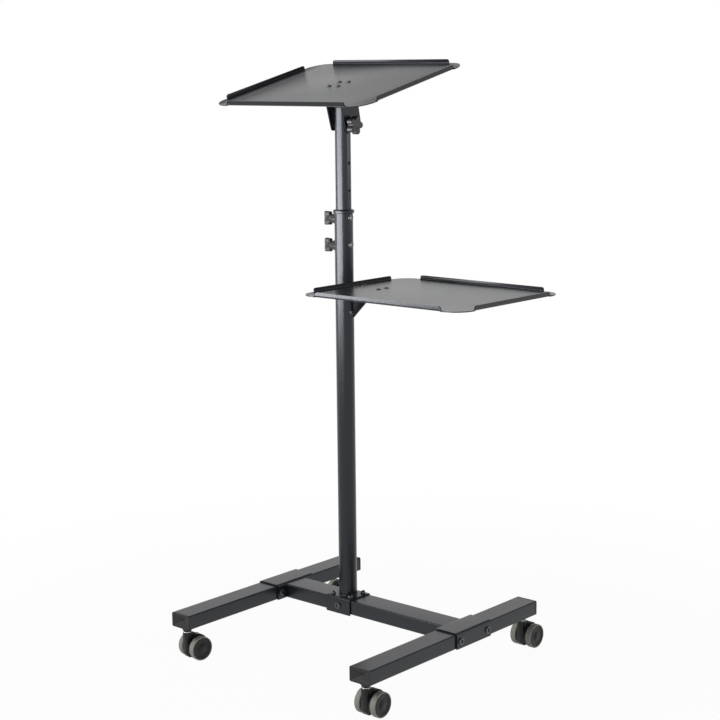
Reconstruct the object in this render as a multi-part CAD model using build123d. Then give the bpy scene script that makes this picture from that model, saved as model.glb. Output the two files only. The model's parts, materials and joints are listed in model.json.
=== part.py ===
"""Portable two-tray stand: a wheeled H base, a telescopic column, a fixed lower tray and a tilting top tray."""
import os
from math import cos, radians, sin

from build123d import *

# All sizes are in millimetres. While it is built, x = y = 0 is the middle of the cross bar, z = 0 is
# the floor, X runs along the cross bar and Y runs along the legs from the front ends to the rear ends.

# Base: two legs of rectangular tube joined by a cross bar.
leg_width = 50.0
leg_height = 30.0
leg_length = 532.0
leg_front_reach = 314.4
leg_spacing = 487.6
tube_wall = 1.5
tube_corner = 3.0
crossbar_width = 60.0

# Folded sheet saddles that hold the cross bar on the legs and the column on the cross bar.
saddle_sheet = 3.0
leg_saddle_length = 110.0
mast_saddle_length = 65.0
mast_saddle_drop = 2.0
sheet_gap = 0.1
bend_slack = 0.4

# End caps of the legs, each with the socket that takes a caster stem.
cap_flange = 4.0
cap_rim = 2.5
cap_recess = 7.0
cap_gap = 0.15
socket_inset = 18.0
socket_radius = 13.0
socket_tip_radius = 8.0
socket_drop = 10.0
socket_wall = 2.0
notch_depth = 2.0
funnel_tip = (1.0, 0.6)

# Twin wheel casters.
caster_height = 72.0
caster_trail = 19.0
caster_angles = {"front_left": -8.0, "front_right": 0.0, "rear_left": 172.0, "rear_right": 0.0}
stem_radius = 5.2
stem_socket_depth = 22.0
stem_collar_radius = 9.0
stem_collar_height = 2.5
stem_hood_depth = 24.0
stem_bevel = 1.0
wheel_radius = 25.0
wheel_width = 17.0
wheel_gap = 18.5
axle_radius = 3.0
axle_seat = 8.0
axle_end_gap = 0.2
axle_press_gap = 0.02
hub_rim_radius = 23.6
hub_rim_width = 3.0
hub_bed_radius = 19.0
hub_disc_radius = 22.2
hub_disc_thickness = 3.0
hub_bevel = 1.3
hub_dish = 1.1
hub_dish_border = 3.0
hub_cap_radius = 7.5
tyre_gap = 0.15
tyre_recess = 0.4
tyre_shoulder = 2.2
hood_width = 15.5
hood_barrel_radius = 9.0
hood_barrel_height = 13.0
hood_arc_radius = 27.0
hood_nose = 9.0
hood_nose_low = 15.0
hood_nose_round = 6.0
hood_tail = 20.0
hood_lift = 6.0
swivel_gap = 0.4
running_gap = 0.08

# Column.
mast_x = -63.0
outer_tube_radius = 19.0
inner_tube_radius = 16.0
column_wall = 1.5
outer_tube_top = 910.0
collar_radius = 21.75
collar_height = 7.0
collar_chamfer = 2.0
collar_bevel = 1.0
sleeve_length = 80.0
inner_tube_length = 560.0
inner_tube_above_pivot = 34.0
index_pitch = 55.0
index_offset = 4.0
index_hole_radius = 3.5
glide_length = 30.0
glide_flange = 4.0
glide_bevel = 1.5
top_cap_height = 3.0
top_cap_depth = 12.0
top_cap_flat_radius = 9.6
top_cap_edge = 1.8

# Clamp screws on the left of the column.
clamp_height = 897.5
clamp_boss_radius = 12.0
clamp_boss_tip_radius = 9.5
clamp_boss_reach = 8.5
clamp_boss_shoulder = 3.0
clamp_boss_bevel = (1.0, 2.5)
clamp_screw_radius = 3.8
clamp_tip_gap = 0.3
clamp_face_gap = 0.4
clamp_neck_length = 7.8
clamp_neck_radius = 8.5
clamp_neck_flare = 2.5
clamp_wing_height = 28.5
clamp_wing_thickness = 10.5
clamp_wing_length = 14.2
clamp_wing_corner = 4.0
clamp_wing_taper = 3.0
clamp_wing_round = 1.2
clamp_hollow_radius = 30.0
clamp_hollow_depth = 1.2

# Trays: folded sheet with four turned up lips and flat rounded corners.
tray_width = 405.0
tray_depth = 330.0
tray_corner = 40.0
tray_sheet = 2.0
lip_height = 10.0
lip_bend = 2.0
lip_inset = 1.0
lip_corner_gap = 46.0
lip_corner = 5.0

# Lower tray and its bracket.
lower_tray_z = 761.0
lower_tray_left = -41.0
bracket_sheet = 2.5
bracket_drop = 64.0
bracket_web = 3.0
bracket_web_offset = 3.5
bracket_nose = 1.0
bracket_flange_width = 40.0
bracket_flange_length = 110.0
bracket_flange_corner = 8.0
bracket_wrap = 45.0
bracket_seat_gap = 0.1

# Tilting head.
pivot_z = 1087.0
tray_tilt = 13.7
tray_rise = 80.0
tray_setback = 9.0
cheek_inner = 18.0
cheek_sheet = 2.5
cheek_width = 54.0
cheek_taper = 3.7
cheek_drop = 10.0
cheek_corner = 6.0
cheek_bend = 3.0
pivot_radius = 4.0
pivot_head_radius = 7.5
pivot_head_height = 5.0
pivot_head_bevel = 1.0
pivot_thread_reach = 12.6
pivot_side_gap = 0.4
ear_sheet = 1.5
ear_depth = 20.0
ear_drop = 8.0
ear_top_gap = 2.0
ear_corner = 6.0
tilt_knob_lobes = 5
tilt_knob_radius = 19.0
tilt_knob_core = 12.5
tilt_knob_lobe = 6.5
tilt_knob_neck_radius = 9.0
tilt_knob_neck = 4.0
tilt_knob_thickness = 14.0
tilt_knob_round = 2.2
tilt_knob_dish_radius = 37.2
tilt_knob_dish = 1.2
tilt_knob_bore = 13.5
tilt_knob_turn = 18.0

# How far a cutting shape reaches past what it cuts.
over = 1.0

# Levels and places that follow from the sizes above.
leg_bottom = caster_height
leg_top = leg_bottom + leg_height
leg_rear_reach = leg_length - leg_front_reach
saddle_top = leg_top + saddle_sheet
saddle_outer = leg_width / 2 + sheet_gap + saddle_sheet
crossbar_length = leg_spacing - 2 * saddle_outer
inner_tube_top = pivot_z + inner_tube_above_pivot
inner_tube_bottom = inner_tube_top - inner_tube_length
socket_y = {"front": -leg_front_reach + socket_inset, "rear": leg_rear_reach - socket_inset}
side_x = {"left": -leg_spacing / 2, "right": leg_spacing / 2}
stem_collar_bottom = caster_height - socket_drop - stem_collar_height
clamp_heights = {"upper_clamp_knob": clamp_height, "lower_clamp_knob": clamp_height - index_pitch}


def block(x0, x1, y0, y1, z0, z1):
    """A box given by its limits."""
    middle = Pos((x0 + x1) / 2, (y0 + y1) / 2, (z0 + z1) / 2)
    return middle * Box(x1 - x0, y1 - y0, z1 - z0)


def rod_x(radius, x0, x1, y=0.0, z=0.0):
    """A round bar along X."""
    return Pos((x0 + x1) / 2, y, z) * Rot(0, 90, 0) * Cylinder(radius, x1 - x0)


def rod_z(radius, z0, z1, x=0.0, y=0.0):
    """A round bar along Z."""
    return Pos(x, y, (z0 + z1) / 2) * Cylinder(radius, z1 - z0)


def section(points):
    """A closed outline of straight lines."""
    return make_face(Polyline(*points, close=True))


def spun(profile):
    """A solid turned about Z from its half section, drawn as radius and height."""
    return revolve(Plane.XZ * profile, Axis.Z)


def turned(points):
    """A solid turned about Z from the corners of its half section, given as radius and height pairs."""
    return spun(section(points))


def along_y(profile, y0, y1):
    """A section drawn in X and Z, drawn out along Y."""
    return Pos(0, y1, 0) * Rot(90, 0, 0) * extrude(profile, y1 - y0, dir=(0, 0, 1))


def along_x(profile, x0, x1):
    """A section drawn in Y and Z, drawn out along X."""
    return Pos(x0, 0, 0) * Rot(0, 0, 90) * Rot(90, 0, 0) * extrude(profile, x1 - x0, dir=(0, 0, 1))


def box_tube(width, height, length):
    """Rectangular tube along Y with its middle at the origin."""
    outside = RectangleRounded(width, height, tube_corner)
    inside = RectangleRounded(width - 2 * tube_wall, height - 2 * tube_wall, tube_corner - tube_wall)
    return along_y(outside - inside, -length / 2, length / 2)


def saddle(inner_width, inner_height, length):
    """A folded channel along Y, open below, with the underside of its top at z = 0."""
    inner_bend = tube_corner - bend_slack
    outside = Pos(0, (saddle_sheet - inner_height) / 2) * Rectangle(
        inner_width + 2 * saddle_sheet, inner_height + saddle_sheet
    )
    outside = fillet(outside.vertices().group_by(Axis.Y)[-1], inner_bend + saddle_sheet)
    inside = Pos(0, -inner_height) * Rectangle(inner_width, 2 * inner_height)
    inside = fillet(inside.vertices().group_by(Axis.Y)[-1], inner_bend)
    return along_y(outside - inside, -length / 2, length / 2)


def socket_key(grow):
    """Plan of the caster socket where it passes the leg's lower wall, from the tube end inwards."""
    plan = Pos(0, socket_inset) * Circle(socket_radius + grow)
    reach = socket_inset - cap_flange
    return plan + Pos(0, cap_flange + reach / 2) * Rectangle(2 * (socket_radius + grow), reach)


def leg():
    """One leg tube, notched below at both ends for the caster sockets."""
    tube = Pos(0, (leg_rear_reach - leg_front_reach) / 2, leg_bottom + leg_height / 2)
    tube = tube * box_tube(leg_width, leg_height, leg_length - 2 * cap_flange)
    notch = Pos(0, 0, -over) * extrude(socket_key(cap_gap), notch_depth + over)
    tube -= Pos(0, -leg_front_reach, leg_bottom) * notch
    tube -= Pos(0, leg_rear_reach, leg_bottom) * Rot(0, 0, 180) * notch
    return tube


def end_cap():
    """Cap at the origin, facing -Y, with z = 0 at the leg's underside."""
    depth = socket_inset + socket_radius + socket_wall
    centre = Pos(0, 0, leg_height / 2)
    face = RectangleRounded(leg_width, leg_height, tube_corner)
    slack = 2 * (tube_wall + cap_gap)
    plug = RectangleRounded(leg_width - slack, leg_height - slack, tube_corner - tube_wall)
    cap = centre * along_y(face, 0, cap_flange) + centre * along_y(plug, cap_flange, depth)
    cap += extrude(socket_key(0.0), notch_depth)
    cap += Pos(0, socket_inset, 0) * turned(
        [(0, 0), (socket_radius, 0), (socket_tip_radius, -socket_drop), (0, -socket_drop)]
    )
    # The face is a shallow four sided funnel inside a narrow rim.
    mouth = Plane(origin=(0, 0, leg_height / 2), x_dir=(1, 0, 0), z_dir=(0, 1, 0))
    rim = mouth * Rectangle(leg_width - 2 * cap_rim, leg_height - 2 * cap_rim)
    tip = mouth.offset(cap_recess) * Rectangle(*funnel_tip)
    cap -= loft([rim, tip])
    cap -= rod_z(stem_radius + cap_gap, -socket_drop - over, stem_socket_depth, 0, socket_inset)
    return cap


def caster_stem():
    """Stem with its collar, on the swivel axis, z = 0 at the floor."""
    top = caster_height + stem_socket_depth - stem_bevel
    low = stem_collar_bottom - stem_hood_depth
    collar_top = stem_collar_bottom + stem_collar_height
    return turned(
        [
            (0, low),
            (stem_radius, low),
            (stem_radius, stem_collar_bottom),
            (stem_collar_radius, stem_collar_bottom),
            (stem_collar_radius, collar_top),
            (stem_radius, collar_top),
            (stem_radius, top - stem_bevel),
            (stem_radius - stem_bevel, top),
            (0, top),
        ]
    )


def caster_hood():
    """Hood between the two wheels, trailing towards +Y, z = 0 at the floor."""
    top = stem_collar_bottom - swivel_gap
    nose = section(
        [
            (-hood_nose, top),
            (-hood_nose, hood_nose_low),
            (0, hood_lift),
            (caster_trail, hood_lift),
            (caster_trail, wheel_radius + hood_arc_radius),
            (hood_barrel_radius, top),
        ]
    )
    length = hood_nose + caster_trail + hood_tail
    window = Pos(length / 2 - hood_nose, (hood_lift + top) / 2) * Rectangle(length, top - hood_lift)
    outline = (Pos(caster_trail, wheel_radius) * Circle(hood_arc_radius) + nose) & window
    hood = along_x(outline, -hood_width / 2, hood_width / 2)
    # Round the long front edges of the nose, which shows between the wheels.
    hood = fillet(hood.edges().filter_by(Axis.Z).group_by(Axis.Y)[0], hood_nose_round)
    hood += rod_z(hood_barrel_radius, top - hood_barrel_height, top)
    hood -= rod_z(stem_radius + running_gap, stem_collar_bottom - stem_hood_depth - over, top + over)
    hood -= rod_x(axle_radius + running_gap, -hood_width, hood_width, caster_trail, wheel_radius)
    return hood


def wheel_hubs():
    """Two hubs pressed on the axle between them, about the X axis at the origin."""
    inner = wheel_gap / 2
    outer = inner + wheel_width
    shelf = outer - hub_disc_thickness
    dish_radius = hub_disc_radius - hub_dish_border
    hub = turned(
        [
            (0, inner + axle_seat),
            (axle_radius + axle_press_gap, inner + axle_seat),
            (axle_radius + axle_press_gap, inner),
            (hub_rim_radius, inner),
            (hub_rim_radius, inner + hub_rim_width),
            (hub_bed_radius, inner + hub_rim_width),
            (hub_bed_radius, shelf),
            (hub_disc_radius, shelf),
            (hub_disc_radius, outer - hub_bevel),
            (hub_disc_radius - hub_bevel, outer),
            (dish_radius, outer),
            (dish_radius - hub_dish, outer - hub_dish),
            (hub_cap_radius + hub_dish, outer - hub_dish),
            (hub_cap_radius, outer),
            (0, outer),
        ]
    )
    axle_end = inner + axle_seat - axle_end_gap
    axle = rod_x(axle_radius, -axle_end, axle_end)
    return Compound(children=[Rot(0, 90, 0) * hub, Rot(0, -90, 0) * hub, axle])


def tyres():
    """The two tyres of a caster, about the X axis at the origin."""
    inner = wheel_gap / 2 + hub_rim_width + tyre_gap
    outer = wheel_gap / 2 + wheel_width - tyre_recess
    shelf = wheel_gap / 2 + wheel_width - hub_disc_thickness - tyre_gap
    bed = hub_bed_radius + tyre_gap
    lip = hub_disc_radius + tyre_gap
    profile = section(
        [
            (bed, inner),
            (wheel_radius, inner),
            (wheel_radius, outer),
            (lip, outer),
            (lip, shelf),
            (bed, shelf),
        ]
    )
    tyre = spun(fillet(profile.vertices().group_by(Axis.X)[-1], tyre_shoulder))
    return Compound(children=[Rot(0, 90, 0) * tyre, Rot(0, -90, 0) * tyre])


def lobed(count, radius, core, lobe):
    """Outline of a star knob: round lobes joined by hollows that meet them smoothly."""
    half = radians(180.0 / count)
    reach = radius - lobe
    # Radius of the hollow that touches two neighbouring lobes and comes in as far as the core.
    hollow = lobe**2 - reach**2 - core**2 + 2 * reach * core * cos(half)
    hollow /= 2 * (core - reach * cos(half) - lobe)
    depth = core + hollow
    share = lobe / (lobe + hollow)
    lines = []
    for number in range(count):
        at = 2 * half * number
        middle = Vector(reach * cos(at), reach * sin(at))
        before = Vector(depth * cos(at - half), depth * sin(at - half))
        after = Vector(depth * cos(at + half), depth * sin(at + half))
        later = Vector(reach * cos(at + 2 * half), reach * sin(at + 2 * half))
        start = middle + (before - middle) * share
        end = middle + (after - middle) * share
        next_start = later + (after - later) * share
        lines.append(ThreePointArc(start, Vector(radius * cos(at), radius * sin(at)), end))
        inmost = Vector(core * cos(at + half), core * sin(at + half))
        lines.append(ThreePointArc(end, inmost, next_start))
    return make_face(Wire.combine(lines)[0])


def clamp_knob():
    """Clamp screw and its wing along Z, z = 0 at the face of its boss, the wing's length along X."""
    start = clamp_neck_length
    end = clamp_neck_length + clamp_wing_length
    plan = RectangleRounded(clamp_wing_height, clamp_wing_thickness, clamp_wing_corner)
    wing = Pos(0, 0, end) * Rot(180, 0, 0) * extrude(plan, clamp_wing_length, taper=clamp_wing_taper)
    wing = fillet(wing.edges().group_by(Axis.Z)[-1], clamp_wing_round)
    for side in (-1, 1):
        reach = clamp_wing_thickness / 2 + clamp_hollow_radius - clamp_hollow_depth
        wing -= rod_z(clamp_hollow_radius, start - over, end + over, 0, side * reach)
    neck = turned(
        [
            (0, clamp_face_gap),
            (clamp_boss_tip_radius, clamp_face_gap),
            (clamp_neck_radius, clamp_neck_flare),
            (clamp_neck_radius, start + over),
            (0, start + over),
        ]
    )
    tip = outer_tube_radius + clamp_boss_reach - inner_tube_radius - clamp_tip_gap
    return wing + neck + rod_z(clamp_screw_radius, -tip, over)


def tilt_knob():
    """Star knob along Z, z = 0 at its bearing face."""
    star = lobed(tilt_knob_lobes, tilt_knob_radius, tilt_knob_core, tilt_knob_lobe)
    top = tilt_knob_neck + tilt_knob_thickness
    crown = Pos(0, 0, tilt_knob_neck) * extrude(star, tilt_knob_thickness)
    rims = crown.edges().group_by(Axis.Z)
    crown = fillet(rims[0] + rims[-1], tilt_knob_round)
    crown -= Pos(0, 0, top + tilt_knob_dish_radius - tilt_knob_dish) * Sphere(tilt_knob_dish_radius)
    knob = crown + rod_z(tilt_knob_neck_radius, 0, tilt_knob_neck + over)
    knob -= rod_z(pivot_radius + running_gap, -over, tilt_knob_bore)
    return Rot(0, 0, tilt_knob_turn) * knob


def lip(length, half):
    """One lip along X on the side at +Y, with the tray's underside at z = 0."""
    face = half - lip_inset
    bend_out = lip_bend + tray_sheet
    corner = Pos(face - bend_out, bend_out) * (Circle(bend_out) - Circle(lip_bend))
    corner &= Pos(face - bend_out / 2, bend_out / 2) * Rectangle(bend_out, bend_out)
    wall = Pos(face - tray_sheet / 2, (bend_out + lip_height) / 2) * Rectangle(
        tray_sheet, lip_height - bend_out
    )
    strip = along_x(corner + wall, -length / 2, length / 2)
    outline = Pos(0, lip_height / 2) * Rectangle(length, lip_height)
    outline = fillet(outline.vertices().group_by(Axis.Y)[-1], lip_corner)
    return strip & along_y(outline, half - 4 * bend_out, half + bend_out)


def tray():
    """Tray with the middle of its underside at the origin."""
    plate = extrude(RectangleRounded(tray_width, tray_depth, tray_corner), tray_sheet)
    bend_out = lip_bend + tray_sheet
    for turn in (0, 90, 180, 270):
        across = turn % 180 == 0
        half = (tray_depth if across else tray_width) / 2
        length = (tray_width if across else tray_depth) - 2 * lip_corner_gap
        start = half - lip_inset - bend_out
        place = Rot(0, 0, turn)
        plate -= place * block(-length / 2, length / 2, start, half + over, -over, tray_sheet + over)
        plate += place * lip(length, half)
    return plate


def tilt_bracket():
    """Folded bracket of the tilting head, pivot axis along X through the origin."""
    front = tray_setback - cheek_width / 2
    back = tray_setback + cheek_width / 2
    outline = Polygon(
        (front, tray_rise),
        (back, tray_rise),
        (back - cheek_taper, -cheek_drop),
        (front + cheek_taper, -cheek_drop),
        align=None,
    )
    outline = fillet(outline.vertices().group_by(Axis.Y)[0], cheek_corner)
    outer = cheek_inner + cheek_sheet
    body = along_x(outline, -outer, outer)
    body = fillet(body.edges().filter_by(Axis.Y).group_by(Axis.Z)[-1], cheek_bend)
    low = -cheek_drop - over
    body -= block(-cheek_inner, cheek_inner, front - over, back + over, low, tray_rise - cheek_sheet)
    body -= rod_x(pivot_radius + running_gap, -outer - over, outer + over)
    return body


def tilt_pin():
    """Pivot bolt along Z, with its head on the left cheek and its thread in the knob on the right."""
    bearing = cheek_inner + cheek_sheet + pivot_side_gap
    low = -bearing - pivot_head_height
    return turned(
        [
            (0, low),
            (pivot_head_radius - pivot_head_bevel, low),
            (pivot_head_radius, low + pivot_head_bevel),
            (pivot_head_radius, -bearing),
            (pivot_radius, -bearing),
            (pivot_radius, bearing + pivot_thread_reach),
            (0, bearing + pivot_thread_reach),
        ]
    )


def head_ears():
    """Two upright plates between the tube and the cheeks, pivot axis along X through the origin."""
    far = cheek_inner - pivot_side_gap
    near = far - ear_sheet
    low = -ear_drop
    high = inner_tube_above_pivot - ear_top_gap
    outline = Pos(0, (low + high) / 2) * Rectangle(ear_depth, high - low)
    outline = fillet(outline.vertices().group_by(Axis.Y)[0], ear_corner)
    outline -= Circle(pivot_radius + sheet_gap)
    return Compound(children=[along_x(outline, -far, -near), along_x(outline, near, far)])


def lower_bracket():
    """Bracket of the lower tray, column axis at the origin, z = 0 at the tray's underside."""
    seat = outer_tube_radius + bracket_seat_gap
    ring = Circle(seat + bracket_sheet) - Circle(seat)
    reach = 3 * seat
    wrap = radians(bracket_wrap)
    wedge = Polygon(
        (0, 0),
        (reach * cos(wrap), -reach * sin(wrap)),
        (reach, 0),
        (reach * cos(wrap), reach * sin(wrap)),
        align=None,
    )
    shell = Pos(0, 0, -bracket_drop) * extrude(ring & wedge, bracket_drop)
    outside = seat + 0.5 * bracket_sheet
    web = Polygon(
        (outside, 0),
        (outside + bracket_drop, 0),
        (outside + bracket_drop, -bracket_sheet),
        (outside + bracket_nose, -bracket_drop),
        (outside, -bracket_drop),
        align=None,
    )
    left = bracket_web_offset - bracket_web / 2
    gusset = Rot(0, 0, -90) * along_x(web, -left - bracket_web, -left)
    start = lower_tray_left - mast_x
    flange = block(
        start,
        start + bracket_flange_length,
        -bracket_flange_width / 2,
        bracket_flange_width / 2,
        -bracket_sheet,
        0,
    )
    flange = fillet(flange.edges().filter_by(Axis.Z).group_by(Axis.X)[-1], bracket_flange_corner)
    flange -= rod_z(seat, -2 * bracket_sheet, bracket_sheet)
    return shell + gusset + flange


parts = {}

# Base frame.
parts["crossbar"] = Pos(0, 0, leg_top - leg_height / 2) * Rot(0, 0, 90) * box_tube(
    crossbar_width, leg_height, crossbar_length
)
for side, x in side_x.items():
    parts[side + "_leg"] = Pos(x, 0, 0) * leg()
    parts[side + "_saddle"] = Pos(x, 0, leg_top) * saddle(
        leg_width + 2 * sheet_gap, leg_height, leg_saddle_length
    )
    parts["front_" + side + "_end_cap"] = Pos(x, -leg_front_reach, leg_bottom) * end_cap()
    parts["rear_" + side + "_end_cap"] = Pos(x, leg_rear_reach, leg_bottom) * Rot(0, 0, 180) * end_cap()

# Casters, each turned on its own swivel.
for end, y in socket_y.items():
    for side, x in side_x.items():
        name = end + "_" + side
        swivel = Pos(x, y, 0) * Rot(0, 0, caster_angles[name])
        axle = swivel * Pos(0, caster_trail, wheel_radius)
        parts[name + "_caster_stem"] = swivel * caster_stem()
        parts[name + "_caster_hood"] = swivel * caster_hood()
        parts[name + "_wheel_hubs"] = axle * wheel_hubs()
        parts[name + "_tyres"] = axle * tyres()

# Column.
mast = Pos(mast_x, 0, 0)
parts["mast_saddle"] = Pos(mast_x, 0, leg_top) * Rot(0, 0, 90) * saddle(
    crossbar_width + 2 * sheet_gap, leg_height + mast_saddle_drop, mast_saddle_length
)
outer_tube = rod_z(outer_tube_radius, saddle_top, outer_tube_top)
outer_tube -= rod_z(outer_tube_radius - column_wall, saddle_top - over, outer_tube_top + over)
sleeve_radius = outer_tube_radius - column_wall - sheet_gap
collar = turned(
    [
        (inner_tube_radius + running_gap, outer_tube_top - sleeve_length),
        (sleeve_radius, outer_tube_top - sleeve_length),
        (sleeve_radius, outer_tube_top),
        (collar_radius - collar_bevel, outer_tube_top),
        (collar_radius, outer_tube_top + collar_bevel),
        (collar_radius, outer_tube_top + collar_height - collar_chamfer),
        (collar_radius - collar_chamfer, outer_tube_top + collar_height),
        (inner_tube_radius + running_gap, outer_tube_top + collar_height),
    ]
)
bosses = []
for name, height in clamp_heights.items():
    face = outer_tube_radius + clamp_boss_reach
    boss = Pos(0, 0, height) * Rot(0, -90, 0) * turned(
        [
            (0, 0),
            (clamp_boss_radius, 0),
            (clamp_boss_radius, outer_tube_radius - clamp_boss_shoulder),
            (clamp_boss_tip_radius + clamp_boss_bevel[0], face - clamp_boss_bevel[1]),
            (clamp_boss_tip_radius, face),
            (0, face),
        ]
    )
    boss -= rod_z(outer_tube_radius + sheet_gap, height - 2 * clamp_boss_radius, height + 2 * clamp_boss_radius)
    screw_hole = rod_x(clamp_screw_radius + running_gap, -face - over, 0, 0, height)
    bosses.append(boss - screw_hole)
    outer_tube -= screw_hole
    collar -= screw_hole
    parts[name] = mast * Pos(-face, 0, height) * Rot(0, -90, 0) * clamp_knob()
parts["outer_column"] = mast * outer_tube
parts["column_collar"] = mast * collar
parts["clamp_bosses"] = mast * Compound(children=bosses)

inner_tube = rod_z(inner_tube_radius, inner_tube_bottom, inner_tube_top)
inner_tube -= rod_z(inner_tube_radius - column_wall, inner_tube_bottom - over, inner_tube_top + over)
hole_z = clamp_height + 2 * index_pitch + index_offset
while hole_z > inner_tube_bottom + glide_length + index_pitch:
    inner_tube -= rod_x(index_hole_radius, -outer_tube_radius, outer_tube_radius, 0, hole_z)
    hole_z -= index_pitch
inner_tube -= rod_x(pivot_radius + sheet_gap, -outer_tube_radius, outer_tube_radius, 0, pivot_z)
parts["inner_column"] = mast * inner_tube
plug_radius = inner_tube_radius - column_wall - sheet_gap
top_cap = turned(
    [
        (0, inner_tube_top - top_cap_depth),
        (plug_radius, inner_tube_top - top_cap_depth),
        (plug_radius, inner_tube_top),
        (inner_tube_radius, inner_tube_top),
        (inner_tube_radius, inner_tube_top + top_cap_edge),
        (top_cap_flat_radius, inner_tube_top + top_cap_height),
        (0, inner_tube_top + top_cap_height),
    ]
)
parts["inner_column_cap"] = mast * top_cap
glide_radius = outer_tube_radius - column_wall - running_gap
parts["slide_glide"] = mast * turned(
    [
        (0, inner_tube_bottom - glide_flange),
        (glide_radius - glide_bevel, inner_tube_bottom - glide_flange),
        (glide_radius, inner_tube_bottom - glide_flange + glide_bevel),
        (glide_radius, inner_tube_bottom),
        (plug_radius, inner_tube_bottom),
        (plug_radius, inner_tube_bottom + glide_length),
        (0, inner_tube_bottom + glide_length),
    ]
)

# Trays and the tilting head.
lower_middle = lower_tray_left + tray_width / 2
parts["lower_tray"] = Pos(lower_middle, 0, lower_tray_z) * tray()
parts["lower_tray_bracket"] = Pos(mast_x, 0, lower_tray_z) * lower_bracket()
head = Pos(mast_x, 0, pivot_z) * Rot(tray_tilt, 0, 0)
parts["upper_tray"] = head * Pos(0, tray_setback, tray_rise) * tray()
parts["tilt_bracket"] = head * tilt_bracket()
pivot = Pos(mast_x, 0, pivot_z) * Rot(0, 90, 0)
parts["tilt_pin"] = pivot * tilt_pin()
parts["head_ears"] = Pos(mast_x, 0, pivot_z) * head_ears()
bearing = cheek_inner + cheek_sheet + pivot_side_gap
parts["tilt_knob"] = pivot * Pos(0, 0, bearing) * tilt_knob()

# Shift everything so that the origin is the middle of the outer sizes, on the floor.
lows = [shape.bounding_box().min for shape in parts.values()]
highs = [shape.bounding_box().max for shape in parts.values()]
middle_x = (min(p.X for p in lows) + max(p.X for p in highs)) / 2
middle_y = (min(p.Y for p in lows) + max(p.Y for p in highs)) / 2
floor_z = min(p.Z for p in lows)
os.makedirs("parts", exist_ok=True)
for name, shape in parts.items():
    export_step(Pos(-middle_x, -middle_y, -floor_z) * shape, "parts/" + name + ".step")
print("shift", round(middle_x, 4), round(middle_y, 4), round(floor_z, 4), "pieces", len(parts))
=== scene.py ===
"""Finishes, fasteners and studio for a portable stand with two trays, laid out as an add-on."""

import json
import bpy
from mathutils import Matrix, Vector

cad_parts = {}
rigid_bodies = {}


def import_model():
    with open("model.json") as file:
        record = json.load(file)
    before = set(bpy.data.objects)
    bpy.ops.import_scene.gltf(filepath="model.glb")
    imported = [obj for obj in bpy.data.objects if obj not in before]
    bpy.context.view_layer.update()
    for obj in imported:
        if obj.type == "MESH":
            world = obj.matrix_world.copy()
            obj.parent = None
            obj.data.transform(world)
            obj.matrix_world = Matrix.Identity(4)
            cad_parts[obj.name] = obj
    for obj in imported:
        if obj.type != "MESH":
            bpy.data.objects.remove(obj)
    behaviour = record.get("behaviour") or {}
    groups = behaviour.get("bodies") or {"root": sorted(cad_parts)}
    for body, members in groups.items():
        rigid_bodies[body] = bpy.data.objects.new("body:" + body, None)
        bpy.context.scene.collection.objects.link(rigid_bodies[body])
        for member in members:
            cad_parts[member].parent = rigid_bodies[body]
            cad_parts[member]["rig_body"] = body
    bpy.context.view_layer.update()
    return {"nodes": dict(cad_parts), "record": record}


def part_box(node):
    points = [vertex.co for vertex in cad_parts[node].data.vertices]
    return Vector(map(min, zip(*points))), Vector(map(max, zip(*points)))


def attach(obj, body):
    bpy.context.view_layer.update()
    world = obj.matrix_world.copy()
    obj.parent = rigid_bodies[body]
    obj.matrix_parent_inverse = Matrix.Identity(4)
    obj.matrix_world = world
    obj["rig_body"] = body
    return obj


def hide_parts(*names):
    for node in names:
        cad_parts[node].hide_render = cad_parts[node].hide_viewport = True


bl_info = {
    "name": "Two Tray Stand",
    "version": (1, 0, 0),
    "blender": (4, 5, 0),
    "location": "View3D > Sidebar > Stand",
    "description": "Dresses the stand's pieces, adds its fasteners and sets up the studio",
    "category": "Object",
}

from math import cos, radians, sin, tan

import bmesh
import bpy
from mathutils import Matrix, Vector

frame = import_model()

UP = Vector((0, 0, 1))
WHITE = (1.0, 1.0, 1.0, 1.0)

# Points of a skin that are closer than this are one, and edges sharper than these angles stay crisp.
MERGE_DISTANCE = 1e-6
SKIN_CREASE = radians(32)
DISC_CREASE = radians(35)
# A disc's face is its top where its normal points up this much.
TOP_SHARE = 0.9
# A face belongs to a tube's wall where its normal runs this much along the radius.
WALL_SHARE = 0.9
ROUND_TUBES = ("inner_column", "outer_column", "column_collar")

# Screw heads, nuts, washers and the weld: numbers of sides, and shares of their own radius or height.
HEX_SIDES = 6
HEAD_SIDES = 28
HEAD_CROWN = 0.62
SOCKET_RADIUS = 0.58
SOCKET_DEPTH = 0.62
NUT_EASE = 0.16
STUD_SIDES = 16
STUD_RADIUS = 0.52
STUD_HEIGHT = 1.4
STUD_EASE = 0.1
WASHER_SIDES = 32
WASHER_EASE = 0.25
WASHER_SUNK = 0.5
WELD_UNEVENNESS = 0.16
# The heads on the trays have this share of a small head's height.
LOW_HEAD = 0.6

# The lower bracket's screws: how far off the column's wall and which way round it they sit,
# and how far they are from the bracket's lower and upper ends.
STRAP_REACH = 0.0024
STRAP_TURN = radians(-9.0)
STRAP_FOOT = 0.011
STRAP_HEAD = 0.014
# The lower tray's screws: from the end of the bracket's arm to their middle, and half their spread on it.
ARM_SETBACK = 0.060
ARM_SPREAD = 0.030
# What the tray screws go through.
TRAY_SHEET = 0.002
BRACKET_SHEET = 0.0025

# The floor glows white where it is looked at, and a little less near the stand, to keep the shadow.
FLOOR_SIZE = 80.0
FLOOR_TONE = (0.5, 0.5, 0.5, 1.0)
FLOOR_ROUGHNESS = 0.9
SHADOW_START = 0.5
SHADOW_END = 1.5
SHADOW_GLOW = 0.96
# The white walls fade to a dim ceiling between these heights of a ray's direction.
WALL_TOP = 0.30
CEILING_START = 0.75
CEILING_LIGHT = 0.10

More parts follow.
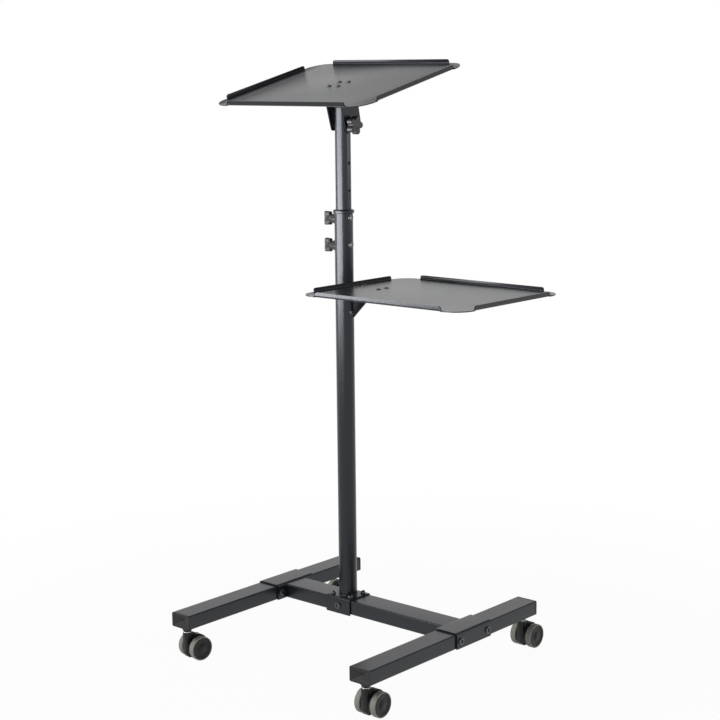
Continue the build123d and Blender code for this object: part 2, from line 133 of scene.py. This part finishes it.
# Lamps: ways round the stand in degrees, places and sizes in metres.
PANEL_TURNS = (-41.0, -16.0, 9.0)
FRONT_PANEL = {"distance": 1.75, "height": 0.81, "size": (0.776, 0.76)}
REAR_CARD = {"turn": 122.0, "distance": 2.0, "height": 1.1, "size": (1.2, 0.6)}
HIGH_FILL = {"turn": -30.0, "distance": 2.2, "height": 2.6, "size": (1.6, 1.6)}
FILL_LIFT = radians(-38.0)
NO_GRID = radians(180.0)
# The low lamps leave these out, because their undersides would mirror a lamp as a white sheet.
MIRRORS = ("upper_tray_skin", "tilt_bracket_skin")
CAMERA_REACH = 100.0


class Value:
    """A socket that takes part in plain arithmetic, each step of which adds a Math node."""

    def __init__(self, bench, socket):
        self.bench = bench
        self.socket = socket

    def maths(self, operation, first, second):
        node = self.bench.node("ShaderNodeMath", {"operation": operation}, {0: first, 1: second})
        return Value(self.bench, node.outputs[0])

    def __add__(self, other):
        return self.maths("ADD", self, other)

    def __radd__(self, other):
        return self.maths("ADD", other, self)

    def __sub__(self, other):
        return self.maths("SUBTRACT", self, other)

    def __rsub__(self, other):
        return self.maths("SUBTRACT", other, self)

    def __mul__(self, other):
        return self.maths("MULTIPLY", self, other)

    def __rmul__(self, other):
        return self.maths("MULTIPLY", other, self)

    def ramp(self, start, end, low, high):
        """A soft step from low to high while the value runs from start to end."""
        node = self.bench.node(
            "ShaderNodeMapRange",
            {"interpolation_type": "SMOOTHSTEP"},
            {"Value": self, "From Min": start, "From Max": end, "To Min": low, "To Max": high},
        )
        return Value(self.bench, node.outputs["Result"])


class Bench:
    """A node tree and the one way in which nodes are added to it."""

    def __init__(self, tree):
        self.tree = tree

    def node(self, kind, settings=None, values=None):
        """Adds a node: its settings are set first, then its sockets get values or links."""
        made = self.tree.nodes.new(kind)
        for name, setting in (settings or {}).items():
            setattr(made, name, setting)
        for key, value in (values or {}).items():
            self.feed(made.inputs[key], value)
        return made

    def looked_at(self):
        """One where the camera, a reflection or a clear piece shows the surface, or else nothing."""
        path = self.node("ShaderNodeLightPath")
        seen = Value(self, path.outputs["Is Camera Ray"])
        for kind in ("Is Glossy Ray", "Is Transmission Ray"):
            seen = seen + Value(self, path.outputs[kind])
        return seen

    def feed(self, socket, value):
        if isinstance(value, Value):
            self.tree.links.new(value.socket, socket)
        else:
            socket.default_value = value


class Finish(Bench):
    """One material, built from nodes on the piece's own coordinates."""

    def __init__(self, name, metallic=0.0, specular=0.5, tint=(1.0, 1.0, 1.0)):
        self.material = bpy.data.materials.new(name)
        self.material.use_nodes = True
        super().__init__(self.material.node_tree)
        self.shader = self.tree.nodes["Principled BSDF"]
        self.shader.inputs["Metallic"].default_value = metallic
        self.shader.inputs["Specular IOR Level"].default_value = specular
        self.shader.inputs["Specular Tint"].default_value = (*tint, 1.0)
        self.place = Value(self, self.node("ShaderNodeTexCoord").outputs["Object"])

    def noise(self, scale, detail=2.0, place=None):
        values = {"Vector": place or self.place, "Scale": scale, "Detail": detail}
        return Value(self, self.node("ShaderNodeTexNoise", None, values).outputs["Fac"])

    def stretched(self, scale):
        """The piece's coordinates, scaled unevenly, for drawn or turned surfaces."""
        node = self.node("ShaderNodeMapping", None, {"Vector": self.place, "Scale": scale})
        return Value(self, node.outputs["Vector"])

    def between(self, first, second, share):
        """A colour between two colours."""
        # The node's colour sockets go by number, because its sockets of other kinds have the same names.
        values = {0: share, 6: (*first, 1.0), 7: (*second, 1.0)}
        node = self.node("ShaderNodeMix", {"data_type": "RGBA"}, values)
        return Value(self, node.outputs[2])

    def relief(self, height, strength, distance):
        """Small bumps on the surface."""
        values = {"Height": height, "Strength": strength, "Distance": distance}
        node = self.node("ShaderNodeBump", None, values)
        self.feed(self.shader.inputs["Normal"], Value(self, node.outputs["Normal"]))

    def surface(self, colour, roughness):
        self.feed(self.shader.inputs["Base Color"], colour)
        self.feed(self.shader.inputs["Roughness"], roughness)


def lighter(colour, share):
    """A colour made lighter, or darker where share is under 1."""
    return tuple(min(1.0, part * share) for part in colour)


def powder_coat(settings):
    """Black satin powder coat: a fine orange peel under a slightly uneven gloss."""
    finish = Finish("powder_coat", specular=settings.paint_shine, tint=settings.paint_tint)
    tone = tuple(settings.paint)
    cloud = finish.noise(scale=7.0, detail=3.0)
    peel = finish.noise(scale=700.0)
    grain = finish.noise(scale=3200.0, detail=1.0)
    colour = finish.between(lighter(tone, 0.85), lighter(tone, 1.2), 0.7 * cloud + 0.3 * grain)
    roughness = settings.paint_roughness + 0.07 * (cloud - 0.5) + 0.10 * (peel - 0.5)
    finish.surface(colour, roughness)
    finish.relief(0.7 * peel + 0.3 * grain, strength=0.12, distance=0.0003)
    return finish.material


def moulded_plastic(name, tone, roughness, shine):
    """Black moulded plastic with a fine spark texture and faint flow marks."""
    finish = Finish(name, specular=shine)
    spark = finish.noise(scale=1500.0)
    flow = finish.noise(scale=28.0, detail=3.0)
    colour = finish.between(lighter(tone, 0.9), lighter(tone, 1.12), 0.6 * flow + 0.4 * spark)
    finish.surface(colour, roughness + 0.12 * (spark - 0.5) + 0.06 * (flow - 0.5))
    finish.relief(spark, strength=0.3, distance=0.0002)
    return finish.material


def grey_tyre(settings):
    """Light grey wheel rubber, a little dusty."""
    finish = Finish("grey_tyre")
    tone = tuple(settings.tyre)
    dust = finish.noise(scale=60.0, detail=4.0)
    grain = finish.noise(scale=1800.0)
    colour = finish.between(lighter(tone, 0.82), lighter(tone, 1.12), 0.7 * dust + 0.3 * grain)
    finish.surface(colour, roughness=0.62 + 0.15 * (dust - 0.5))
    finish.relief(grain, strength=0.25, distance=0.0002)
    return finish.material


def plated_steel(settings):
    """Bright zinc plate with fine turning marks."""
    finish = Finish("plated_steel", metallic=1.0)
    tone = tuple(settings.plate)
    turning = finish.noise(scale=1.0, place=finish.stretched((60.0, 60.0, 2600.0)))
    bloom = finish.noise(scale=90.0, detail=3.0)
    colour = finish.between(lighter(tone, 0.82), tone, 0.5 * turning + 0.5 * bloom)
    finish.surface(colour, roughness=0.15 + 0.12 * bloom)
    finish.relief(turning, strength=0.12, distance=0.0001)
    return finish.material


def black_screw(settings):
    """Blackened steel of the screw heads."""
    finish = Finish("black_screw", specular=1.0)
    tone = tuple(settings.screw)
    bloom = finish.noise(scale=160.0, detail=3.0)
    grain = finish.noise(scale=2200.0, detail=1.0)
    colour = finish.between(lighter(tone, 0.7), lighter(tone, 1.5), 0.6 * bloom + 0.4 * grain)
    finish.surface(colour, roughness=0.16 + 0.12 * bloom)
    finish.relief(grain, strength=0.15, distance=0.0001)
    return finish.material


def only(piece):
    """Makes a piece the only one selected, and the active one."""
    bpy.ops.object.select_all(action="DESELECT")
    piece.select_set(True)
    bpy.context.view_layer.objects.active = piece


def pick_faces(test):
    """Selects the faces of the piece in edit mode that pass a test."""
    mesh = bmesh.from_edit_mesh(bpy.context.object.data)
    bpy.ops.mesh.select_all(action="DESELECT")
    for face in mesh.faces:
        face.select_set(test(face))
    mesh.select_flush_mode()
    bmesh.update_edit_mesh(bpy.context.object.data)


def coated(piece, body, material):
    """Gives a finished piece its material and the body it rides."""
    piece.data.materials.clear()
    piece.data.materials.append(material)
    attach(piece, body)


def dressed(node, material):
    """A welded, smoothly shaded skin that stands for a CAD node."""
    source = frame["nodes"][node]
    piece = bpy.data.objects.new(node + "_skin", source.data.copy())
    bpy.context.scene.collection.objects.link(piece)
    only(piece)
    bpy.ops.object.mode_set(mode="EDIT")
    bpy.ops.mesh.select_all(action="SELECT")
    bpy.ops.mesh.remove_doubles(threshold=MERGE_DISTANCE)
    bpy.ops.object.mode_set(mode="OBJECT")
    bpy.ops.object.shade_smooth_by_angle(angle=SKIN_CREASE)
    coated(piece, source["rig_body"], material)
    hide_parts(node)
    return piece


def shade_round(piece, axis):
    """Lets the walls of an upright tube shade as a true cylinder, also between its holes."""
    mesh = piece.data
    normals = [Vector((0, 0, 0)) for corner in mesh.loops]
    for face in mesh.polygons:
        for index in face.loop_indices:
            outwards = mesh.vertices[mesh.loops[index].vertex_index].co - axis
            outwards.z = 0.0
            outwards.normalize()
            along = face.normal.dot(outwards)
            if abs(along) > WALL_SHARE:
                normals[index] = outwards if along > 0 else -outwards
    mesh.normals_split_custom_set(normals)


def dress_slots(materials, special=None):
    """Dresses every CAD node whose slot has a material here; special names nodes with their own."""
    for part in frame["record"]["subparts"]:
        node, slot = part["node"], part["material_slot"]
        if slot in materials:
            piece = dressed(node, (special or {}).get(node, materials[slot]))
            if node in ROUND_TUBES:
                shade_round(piece, middle(node))


def turned_disc(radius, height, sides, bevel):
    """A disc on z = 0 whose upper edge is rounded off."""
    bpy.ops.object.select_all(action="DESELECT")
    bpy.ops.mesh.primitive_cylinder_add(
        vertices=sides, radius=radius, depth=height, location=(0, 0, height / 2)
    )
    disc = bpy.context.object
    bpy.ops.object.transform_apply()
    bpy.ops.object.mode_set(mode="EDIT")
    pick_faces(lambda face: face.normal.z > TOP_SHARE)
    bpy.ops.mesh.bevel(offset=bevel, segments=4, affect="EDGES")
    bpy.ops.object.mode_set(mode="OBJECT")
    bpy.ops.object.shade_smooth_by_angle(angle=DISC_CREASE)
    return disc


def socketed(disc, radius, depth):
    """Sinks a six sided socket into the top of a screw head."""
    top = max(vertex.co.z for vertex in disc.data.vertices)
    bpy.ops.object.select_all(action="DESELECT")
    bpy.ops.mesh.primitive_cylinder_add(
        vertices=HEX_SIDES, radius=radius, depth=2 * depth, location=(0, 0, top)
    )
    cutter = bpy.context.object
    only(disc)
    cut = disc.modifiers.new("socket", "BOOLEAN")
    cut.object = cutter
    cut.operation = "DIFFERENCE"
    bpy.ops.object.modifier_apply(modifier=cut.name)
    bpy.data.objects.remove(cutter)
    return disc


def button_screw(radius, height):
    """A button head with a six sided socket."""
    head = turned_disc(radius, height, HEAD_SIDES, HEAD_CROWN * height)
    return socketed(head, SOCKET_RADIUS * radius, SOCKET_DEPTH * height)


def hex_nut(radius, height):
    """A six sided nut with its corners eased and the end of its screw showing."""
    nut = turned_disc(radius, height, HEX_SIDES, NUT_EASE * height)
    stud = turned_disc(STUD_RADIUS * radius, STUD_HEIGHT * height, STUD_SIDES, STUD_EASE * height)
    only(nut)
    stud.select_set(True)
    bpy.ops.object.join()
    return nut


def set_at(name, pattern, places, body, material):
    """One copy of a pattern at each place, joined in one piece; a place is a point and the way out."""
    copies = []
    for point, outwards in places:
        copy = pattern.copy()
        copy.data = pattern.data.copy()
        turn = UP.rotation_difference(Vector(outwards)).to_matrix().to_4x4()
        copy.data.transform(Matrix.Translation(point) @ turn)
        bpy.context.scene.collection.objects.link(copy)
        copies.append(copy)
    only(copies[0])
    for copy in copies:
        copy.select_set(True)
    if len(copies) > 1:
        bpy.ops.object.join()
    piece = bpy.context.object
    piece.name = name
    coated(piece, body, material)
    return piece


def middle(node):
    """The middle of a CAD node's box."""
    low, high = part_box(node)
    return (low + high) / 2


def mount(name):
    """The place and the outward direction of one of the record's mounts."""
    for item in frame["record"]["mounts"]:
        if item["name"] == name:
            return Vector(item["pos_m"]), Vector(item["axis"]).normalized()
    raise RuntimeError("the record has no mount called " + name)


def finish_of(name, maker, settings):
    """A material by name, made the first time it is asked for."""
    return bpy.data.materials.get(name) or maker(settings)


class StandFinishes(bpy.types.PropertyGroup):
    """Colours and gloss of the stand."""

    paint: bpy.props.FloatVectorProperty(
        name="Paint", description="Powder coat on all the metal", subtype="COLOR",
        default=(0.0070, 0.0077, 0.0105),
    )
    paint_roughness: bpy.props.FloatProperty(
        name="Paint roughness", description="Gloss of the powder coat", default=0.29, min=0.0, max=1.0
    )
    paint_shine: bpy.props.FloatProperty(
        name="Paint shine", description="Strength of the powder coat's reflections", default=0.46,
        min=0.0, max=1.0,
    )
    paint_tint: bpy.props.FloatVectorProperty(
        name="Paint tint", description="Cool tint of the powder coat's reflections", subtype="COLOR",
        default=(0.90, 0.94, 1.0),
    )
    plastic: bpy.props.FloatVectorProperty(
        name="Plastic", description="Caps, knobs and caster hoods", subtype="COLOR",
        default=(0.010, 0.010, 0.011),
    )
    tyre: bpy.props.FloatVectorProperty(
        name="Tyre", description="Caster tyres", subtype="COLOR", default=(0.25, 0.25, 0.222)
    )
    plate: bpy.props.FloatVectorProperty(
        name="Plate", description="Plated stems and screws", subtype="COLOR", default=(0.86, 0.86, 0.85)
    )
    screw: bpy.props.FloatVectorProperty(
        name="Screw", description="Blackened screw heads", subtype="COLOR", default=(0.02, 0.02, 0.022)
    )


class StandFasteners(bpy.types.PropertyGroup):
    """Sizes and places of the screws."""

    bolt_radius: bpy.props.FloatProperty(
        name="Bolt radius", description="Button heads on the saddles", unit="LENGTH", default=0.0072
    )
    bolt_height: bpy.props.FloatProperty(
        name="Bolt height", description="Height of the saddle heads", unit="LENGTH", default=0.0031
    )
    screw_radius: bpy.props.FloatProperty(
        name="Screw radius", description="Small screw heads", unit="LENGTH", default=0.0052
    )
    screw_height: bpy.props.FloatProperty(
        name="Screw height", description="Height of the small heads", unit="LENGTH", default=0.003
    )
    saddle_spread: bpy.props.FloatProperty(
        name="Saddle spread", description="From the cross bar's axis to a saddle bolt", unit="LENGTH",
        default=0.0435,
    )
    foot_spread: bpy.props.FloatVectorProperty(
        name="Foot spread", description="From the column to the screws at its foot", size=2, unit="LENGTH",
        default=(0.0235, 0.0205),
    )
    foot_height: bpy.props.FloatProperty(
        name="Foot screw height", description="Height of the heads at the column's foot", unit="LENGTH",
        default=0.0055,
    )
    guide_radius: bpy.props.FloatProperty(
        name="Guide screw radius", description="Screws on the right of the column", unit="LENGTH",
        default=0.0024,
    )
    guide_rise: bpy.props.FloatProperty(
        name="Guide screw rise", description="From a clamp screw up to its guide screw", unit="LENGTH",
        default=0.003,
    )
    washer_radius: bpy.props.FloatProperty(
        name="Washer radius", description="Black washers under the guide screws", unit="LENGTH",
        default=0.0068,
    )
    washer_height: bpy.props.FloatProperty(
        name="Washer height", description="Height of the washers, partly let into the column",
        unit="LENGTH", default=0.0022,
    )
    tray_spread: bpy.props.FloatVectorProperty(
        name="Tray spread", description="From the middle of a bracket to its tray screws", size=2,
        unit="LENGTH", default=(0.012, 0.016),
    )
    weld_radius: bpy.props.FloatProperty(
        name="Weld radius", description="Thickness of the weld bead at the column's foot", unit="LENGTH",
        default=0.0018,
    )


class StandStudio(bpy.types.PropertyGroup):
    """Camera and lights."""

    camera_offset: bpy.props.FloatVectorProperty(
        name="Camera", description="Camera's place from the column's foot", subtype="TRANSLATION",
        default=(2.2704, -2.5382, 1.2164),
    )
    camera_turn: bpy.props.FloatProperty(
        name="Azimuth", description="Camera's way round the stand", subtype="ANGLE", default=radians(41.307)
    )
    camera_pitch: bpy.props.FloatProperty(
        name="Pitch", description="How far the camera looks down", subtype="ANGLE", default=radians(10.162)
    )
    camera_roll: bpy.props.FloatProperty(
        name="Roll", description="Camera's lean", subtype="ANGLE", default=radians(-0.595)
    )
    camera_lens: bpy.props.FloatProperty(
        name="Lens", description="Focal length in millimetres", default=83.845
    )
    panel_power: bpy.props.FloatProperty(
        name="Panel", description="Power of each gridded front panel", subtype="POWER", default=8.7
    )
    grid_lift: bpy.props.FloatProperty(
        name="Grid lift", description="How far the gridded lamps look up", subtype="ANGLE",
        default=radians(27.0),
    )
    grid_spread: bpy.props.FloatProperty(
        name="Grid spread", description="Full angle of the grids", subtype="ANGLE", default=radians(60.0)
    )
    fill_power: bpy.props.FloatProperty(
        name="Fill", description="Power of the soft lamp high in front", subtype="POWER", default=62.0
    )
    card_power: bpy.props.FloatProperty(
        name="Card", description="Power of the weak rear card", subtype="POWER", default=5.0
    )


class STAND_OT_painted_frame(bpy.types.Operator):
    """Dress the painted tubes, saddles, brackets and trays"""

    bl_idname = "stand.painted_frame"
    bl_label = "Painted frame"

    def execute(self, context):
        dress_slots({"frame_paint": powder_coat(context.scene.stand_finishes)})
        return {"FINISHED"}


class STAND_OT_plastic_parts(bpy.types.Operator):
    """Dress the caps, the collar and the knobs"""

    bl_idname = "stand.plastic_parts"
    bl_label = "Caps and knobs"

    def execute(self, context):
        tone = tuple(context.scene.stand_finishes.plastic)
        cap_tone = lighter(tone, 1.5)
        dress_slots(
            {
                "cap_plastic": moulded_plastic("cap_plastic", cap_tone, roughness=0.5, shine=0.37),
                "knob_plastic": moulded_plastic("knob_plastic", tone, roughness=0.45, shine=0.45),
            },
            {"column_collar": bpy.data.materials["powder_coat"]},
        )
        return {"FINISHED"}


class STAND_OT_casters(bpy.types.Operator):
    """Dress the caster hoods, wheels, tyres and stems"""

    bl_idname = "stand.casters"
    bl_label = "Casters"

    def execute(self, context):
        finishes = context.scene.stand_finishes
        tone = tuple(finishes.plastic)
        dress_slots(
            {
                "caster_plastic": moulded_plastic("caster_plastic", tone, roughness=0.42, shine=0.28),
                "tyre_grey": grey_tyre(finishes),
                "plated_steel": plated_steel(finishes),
            }
        )
        return {"FINISHED"}


class STAND_OT_base_bolts(bpy.types.Operator):
    """Add the bolts of the three saddles and the weld at the column's foot"""

    bl_idname = "stand.base_bolts"
    bl_label = "Base bolts"

    def execute(self, context):
        sizes = context.scene.stand_fasteners
        black = finish_of("black_screw", black_screw, context.scene.stand_finishes)
        bolt = button_screw(sizes.bolt_radius, sizes.bolt_height)
        axis = middle("crossbar")
        for side in ("left", "right"):
            low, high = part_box(side + "_saddle")
            places = []
            for along in (-sizes.saddle_spread, sizes.saddle_spread):
                places.append(((low.x, axis.y + along, axis.z), (-1, 0, 0)))
                places.append(((high.x, axis.y + along, axis.z), (1, 0, 0)))
            set_at(side + "_saddle_bolts", bolt, places, "base", black)
        low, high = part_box("mast_saddle")
        centre = (low + high) / 2
        places = [((centre.x, low.y, axis.z), (0, -1, 0)), ((centre.x, high.y, axis.z), (0, 1, 0))]
        set_at("mast_saddle_bolts", bolt, places, "base", black)
        screw = button_screw(sizes.screw_radius, sizes.foot_height)
        places = []
        for across in (-sizes.foot_spread[0], sizes.foot_spread[0]):
            for along in (-sizes.foot_spread[1], sizes.foot_spread[1]):
                places.append(((centre.x + across, centre.y + along, high.z), (0, 0, 1)))
        set_at("mast_saddle_screws", screw, places, "base", black)
        bpy.data.objects.remove(bolt)
        bpy.data.objects.remove(screw)
        self.weld(sizes, high.z)
        return {"FINISHED"}

    def weld(self, sizes, height):
        """A slightly uneven bead round the foot of the column."""
        column = middle("outer_column")
        low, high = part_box("outer_column")
        bpy.ops.object.select_all(action="DESELECT")
        bpy.ops.mesh.primitive_torus_add(
            location=(column.x, column.y, height),
            major_segments=96,
            minor_segments=12,
            major_radius=(high.x - low.x) / 2,
            minor_radius=sizes.weld_radius,
        )
        bead = bpy.context.object
        bpy.ops.object.transform_apply()
        bpy.ops.object.mode_set(mode="EDIT")
        bpy.ops.mesh.select_all(action="SELECT")
        bpy.ops.transform.vertex_random(offset=WELD_UNEVENNESS * sizes.weld_radius, seed=4)
        bpy.ops.mesh.vertices_smooth(factor=0.4, repeat=1)
        bpy.ops.object.mode_set(mode="OBJECT")
        bpy.ops.object.shade_smooth()
        bead.name = "column_weld"
        coated(bead, "base", bpy.data.materials["powder_coat"])


class STAND_OT_column_screws(bpy.types.Operator):
    """Add the guide screws on the column and the screws of the lower tray's bracket"""

    bl_idname = "stand.column_screws"
    bl_label = "Column screws"

    def execute(self, context):
        sizes = context.scene.stand_fasteners
        finishes = context.scene.stand_finishes
        black = finish_of("black_screw", black_screw, finishes)
        bright = finish_of("plated_steel", plated_steel, finishes)
        low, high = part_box("outer_column")
        column = (low + high) / 2
        sunk = WASHER_SUNK * sizes.washer_height
        heights = [middle(side + "_clamp_knob").z + sizes.guide_rise for side in ("upper", "lower")]
        ease = WASHER_EASE * sizes.washer_height
        washer = turned_disc(sizes.washer_radius, sizes.washer_height, WASHER_SIDES, ease)
        places = [((high.x - sunk, column.y, height), (1, 0, 0)) for height in heights]
        set_at("guide_washers", washer, places, "base", black)
        guide = button_screw(sizes.guide_radius, sizes.washer_height)
        places = [((high.x, column.y, height), (1, 0, 0)) for height in heights]
        set_at("guide_screws", guide, places, "base", bright)
        bpy.data.objects.remove(washer)
        bpy.data.objects.remove(guide)
        screw = button_screw(sizes.screw_radius, sizes.screw_height)
        bracket_low, bracket_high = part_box("lower_tray_bracket")
        reach = high.x - column.x + STRAP_REACH
        way = Vector((cos(STRAP_TURN), sin(STRAP_TURN), 0))
        places = []
        for height in (bracket_low.z + STRAP_FOOT, bracket_high.z - STRAP_HEAD):
            places.append((Vector((column.x, column.y, height)) + reach * way, way))
        set_at("bracket_screws", screw, places, "base", black)
        bpy.data.objects.remove(screw)
        return {"FINISHED"}


class STAND_OT_tray_screws(bpy.types.Operator):
    """Add the screws and nuts that hold the two trays on their brackets"""

    bl_idname = "stand.tray_screws"
    bl_label = "Tray screws"

    def execute(self, context):
        sizes = context.scene.stand_fasteners
        black = finish_of("black_screw", black_screw, context.scene.stand_finishes)
        screw = button_screw(sizes.screw_radius, LOW_HEAD * sizes.screw_height)
        nut = hex_nut(sizes.screw_radius, sizes.screw_height)
        fixings = (screw, nut, black)
        arm_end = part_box("lower_tray_bracket")[1].x
        face, up = mount("lower_tray_face")
        start = Vector((arm_end - ARM_SETBACK, face.y, face.z))
        self.fix("lower_tray", start, up, (ARM_SPREAD, sizes.tray_spread[0]), "base", *fixings)
        face, up = mount("upper_tray_face")
        self.fix("upper_tray", face, up, sizes.tray_spread, "head", *fixings)
        bpy.data.objects.remove(screw)
        bpy.data.objects.remove(nut)
        return {"FINISHED"}

    def fix(self, name, face, up, spread, body, screw, nut, material):
        """Four screws on a tray's face and four nuts under its bracket."""
        through = TRAY_SHEET + BRACKET_SHEET
        across = Vector((1, 0, 0))
        along = up.cross(across)
        points = []
        for side in (-spread[0], spread[0]):
            for end in (-spread[1], spread[1]):
                points.append(face + side * across + end * along)
        set_at(name + "_screws", screw, [(point, up) for point in points], body, material)
        under = [(point - through * up, -up) for point in points]
        set_at(name + "_nuts", nut, under, body, material)


class STAND_OT_studio(bpy.types.Operator):
    """Set up the floor, the surroundings, the lights and the camera"""

    bl_idname = "stand.studio"
    bl_label = "Studio"

    def execute(self, context):
        studio = context.scene.stand_studio
        context.scene.view_settings.view_transform = "Standard"
        self.floor()
        self.surroundings()
        column = middle("outer_column")
        grid = (studio.grid_lift, studio.grid_spread)
        for number, turn in enumerate(PANEL_TURNS, 1):
            name = "front_panel_" + str(number)
            panel = self.softbox(name, column, studio.panel_power, *grid, turn=turn, **FRONT_PANEL)
            self.leave_out(panel, MIRRORS)
        card = self.softbox("rear_card", column, studio.card_power, *grid, **REAR_CARD)
        self.leave_out(card, MIRRORS)
        self.softbox("high_fill", column, studio.fill_power, FILL_LIFT, NO_GRID, **HIGH_FILL)
        self.camera(studio, column)
        return {"FINISHED"}

    def floor(self):
        """A pale floor that is white far from the stand and keeps a soft shadow under it."""
        bpy.ops.object.select_all(action="DESELECT")
        bpy.ops.mesh.primitive_plane_add(size=FLOOR_SIZE, location=(0, 0, 0))
        plane = bpy.context.object
        plane.name = "floor"
        finish = Finish("pale_floor")
        finish.surface(FLOOR_TONE, FLOOR_ROUGHNESS)
        glow = finish.node("ShaderNodeEmission", None, {"Color": WHITE, "Strength": 1.0})
        seen = finish.looked_at()
        length = finish.node("ShaderNodeVectorMath", {"operation": "LENGTH"}, {0: finish.place})
        far = Value(finish, length.outputs["Value"])
        share = far.ramp(SHADOW_START, SHADOW_END, SHADOW_GLOW, 1.0) * seen
        mix = finish.node("ShaderNodeMixShader", None, {0: share})
        finish.tree.links.new(finish.shader.outputs[0], mix.inputs[1])
        finish.tree.links.new(glow.outputs[0], mix.inputs[2])
        finish.tree.links.new(mix.outputs[0], finish.tree.nodes["Material Output"].inputs["Surface"])
        plane.data.materials.append(finish.material)

    def surroundings(self):
        """White walls all round, under a dim ceiling."""
        world = bpy.data.worlds.new("studio")
        bpy.context.scene.world = world
        world.use_nodes = True
        bench = Bench(world.node_tree)
        way = Value(bench, bench.node("ShaderNodeTexCoord").outputs["Generated"])
        height = Value(bench, bench.node("ShaderNodeSeparateXYZ", None, {0: way}).outputs["Z"])
        background = world.node_tree.nodes["Background"]
        bench.feed(background.inputs["Color"], WHITE)
        light = height.ramp(WALL_TOP, CEILING_START, 1.0, CEILING_LIGHT)
        bench.feed(background.inputs["Strength"], light)

    def softbox(self, name, target, power, lift, spread, turn, distance, height, size):
        """An area lamp that faces the column from one way round, tilted up by lift, behind a grid."""
        lamp = bpy.data.lights.new(name, "AREA")
        lamp.shape = "RECTANGLE"
        lamp.size, lamp.size_y = size
        lamp.energy = power
        lamp.spread = spread
        holder = bpy.data.objects.new(name, lamp)
        holder.visible_camera = False
        bpy.context.scene.collection.objects.link(holder)
        angle = radians(turn)
        holder.location = (target.x + distance * sin(angle), target.y - distance * cos(angle), height)
        aim = Vector((target.x, target.y, height + distance * tan(lift))) - holder.location
        holder.rotation_euler = aim.to_track_quat("-Z", "Y").to_euler()
        return holder

    def leave_out(self, holder, names):
        """Keeps a low lamp off some pieces."""
        left_out = bpy.data.collections.new(holder.name + "_leaves_out")
        for name in names:
            left_out.objects.link(bpy.data.objects[name])
        for entry in left_out.collection_objects:
            entry.light_linking.link_state = "EXCLUDE"
        holder.light_linking.receiver_collection = left_out

    def camera(self, studio, column):
        """The photograph's camera, from its place, its directions and its lens."""
        turn, pitch, roll = studio.camera_turn, studio.camera_pitch, studio.camera_roll
        back = Vector((sin(turn) * cos(pitch), -cos(turn) * cos(pitch), sin(pitch)))
        right = Vector((cos(turn), sin(turn), 0))
        up = back.cross(right)
        leaned_right = right * cos(roll) + up * sin(roll)
        leaned_up = up * cos(roll) - right * sin(roll)
        lens = bpy.data.cameras.new("camera")
        lens.lens = studio.camera_lens
        lens.clip_end = CAMERA_REACH
        camera = bpy.data.objects.new("camera", lens)
        bpy.context.scene.collection.objects.link(camera)
        axes = Matrix((leaned_right, leaned_up, back)).transposed().to_4x4()
        place = Vector((column.x, column.y, 0)) + Vector(studio.camera_offset)
        camera.matrix_world = Matrix.Translation(place) @ axes
        bpy.context.scene.camera = camera


class STAND_PT_panel(bpy.types.Panel):
    """Lists the steps that dress the stand"""

    bl_idname = "STAND_PT_panel"
    bl_label = "Two Tray Stand"
    bl_space_type = "VIEW_3D"
    bl_region_type = "UI"
    bl_category = "Stand"

    def draw(self, context):
        for step in STEPS:
            self.layout.operator(step.bl_idname)
        for group in ("stand_finishes", "stand_fasteners", "stand_studio"):
            settings = getattr(context.scene, group)
            for name in settings.__annotations__:
                self.layout.prop(settings, name)


STEPS = (
    STAND_OT_painted_frame,
    STAND_OT_plastic_parts,
    STAND_OT_casters,
    STAND_OT_base_bolts,
    STAND_OT_column_screws,
    STAND_OT_tray_screws,
    STAND_OT_studio,
)
CLASSES = (StandFinishes, StandFasteners, StandStudio, *STEPS, STAND_PT_panel)


def register():
    for item in CLASSES:
        bpy.utils.register_class(item)
    bpy.types.Scene.stand_finishes = bpy.props.PointerProperty(type=StandFinishes)
    bpy.types.Scene.stand_fasteners = bpy.props.PointerProperty(type=StandFasteners)
    bpy.types.Scene.stand_studio = bpy.props.PointerProperty(type=StandStudio)


def unregister():
    del bpy.types.Scene.stand_studio
    del bpy.types.Scene.stand_fasteners
    del bpy.types.Scene.stand_finishes
    for item in reversed(CLASSES):
        bpy.utils.unregister_class(item)


def main():
    register()
    bpy.ops.stand.painted_frame()
    bpy.ops.stand.plastic_parts()
    bpy.ops.stand.casters()
    bpy.ops.stand.base_bolts()
    bpy.ops.stand.column_screws()
    bpy.ops.stand.tray_screws()
    bpy.ops.stand.studio()


if __name__ == "__main__":
    main()
